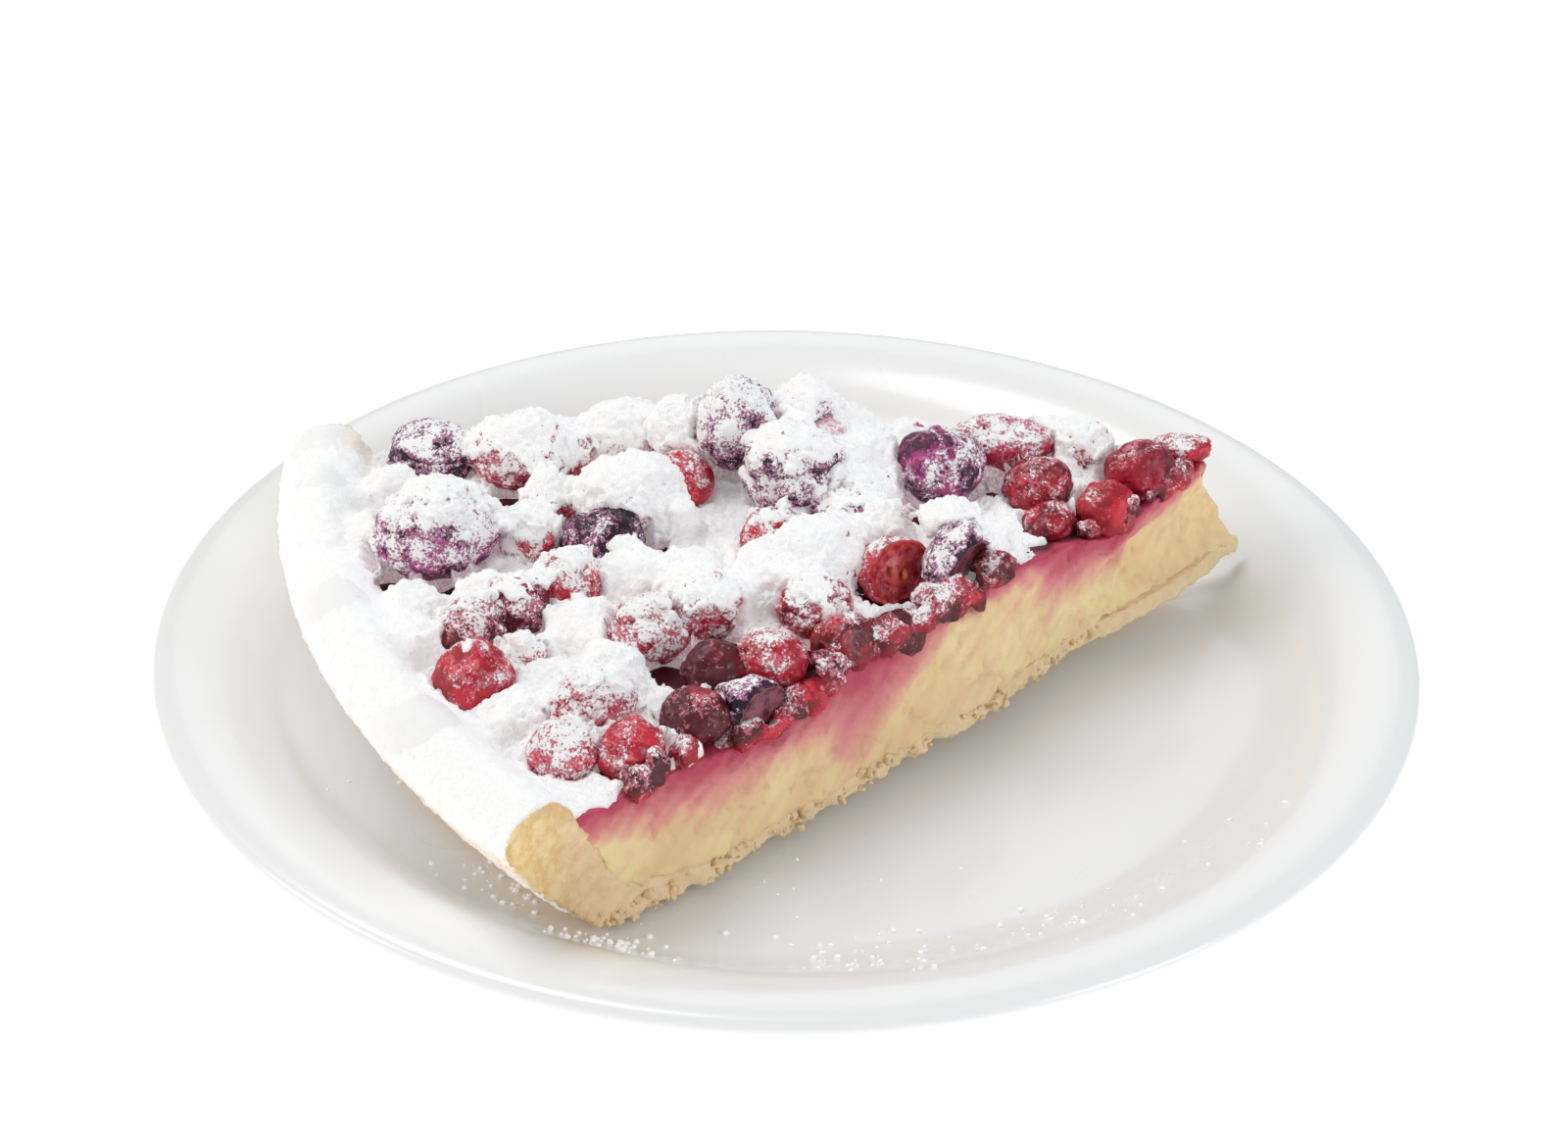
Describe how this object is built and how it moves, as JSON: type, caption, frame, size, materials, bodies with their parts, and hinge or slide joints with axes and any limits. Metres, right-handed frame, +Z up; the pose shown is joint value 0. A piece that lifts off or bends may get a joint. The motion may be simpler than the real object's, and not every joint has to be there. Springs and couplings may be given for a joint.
{
  "type": "fruit tart slice",
  "caption": "Wedge of berry custard tart with a pressed pastry rim and heavy icing sugar, lying on a round white side plate.",
  "frame": {"origin": "middle of the plate's foot ring, on the table", "axes": "+Z up, -Y towards the viewer of the picture, +X to the viewer's right; the slice's tip points to +X"},
  "size_m": [0.17, 0.17, 0.0425],
  "materials": {
    "plate_glaze": "white glossy glaze",
    "shortcrust": "dry, crumbly, pale golden",
    "custard": "smooth set cream, stained pink under the berries",
    "darkberry": "dark purple skin, frosted with sugar",
    "raspberry": "rough red, frosted with sugar",
    "redcurrant": "shiny translucent red skin",
    "icing_sugar": "matt white powder"
  },
  "bodies": {
    "root": {"custard": "custard", "darkberry_01": "darkberry", "darkberry_02": "darkberry", "darkberry_03": "darkberry", "darkberry_04": "darkberry", "darkberry_05": "darkberry", "darkberry_06": "darkberry", "darkberry_07": "darkberry", "darkberry_08": "darkberry", "darkberry_09": "darkberry", "darkberry_10": "darkberry", "pastry": "shortcrust", "plate": "plate_glaze", "raspberry_01": "raspberry", "raspberry_02": "raspberry", "raspberry_03": "raspberry", "raspberry_04": "raspberry", "raspberry_05": "raspberry", "raspberry_06": "raspberry", "raspberry_07": "raspberry", "raspberry_08": "raspberry", "raspberry_09": "raspberry", "raspberry_10": "raspberry", "raspberry_11": "raspberry", "redcurrant_01": "redcurrant", "redcurrant_02": "redcurrant", "redcurrant_03": "redcurrant", "redcurrant_04": "redcurrant", "redcurrant_05": "redcurrant", "redcurrant_06": "redcurrant", "redcurrant_07": "redcurrant", "redcurrant_08": "redcurrant", "redcurrant_09": "redcurrant", "redcurrant_10": "redcurrant", "redcurrant_11": "redcurrant", "redcurrant_12": "redcurrant", "redcurrant_13": "redcurrant", "redcurrant_14": "redcurrant", "redcurrant_15": "redcurrant", "redcurrant_16": "redcurrant", "redcurrant_17": "redcurrant", "redcurrant_18": "redcurrant", "redcurrant_19": "redcurrant", "redcurrant_20": "redcurrant", "redcurrant_21": "redcurrant", "redcurrant_22": "redcurrant", "redcurrant_23": "redcurrant", "redcurrant_24": "redcurrant", "redcurrant_25": "redcurrant", "redcurrant_26": "redcurrant"}
  },
  "joints": []
}
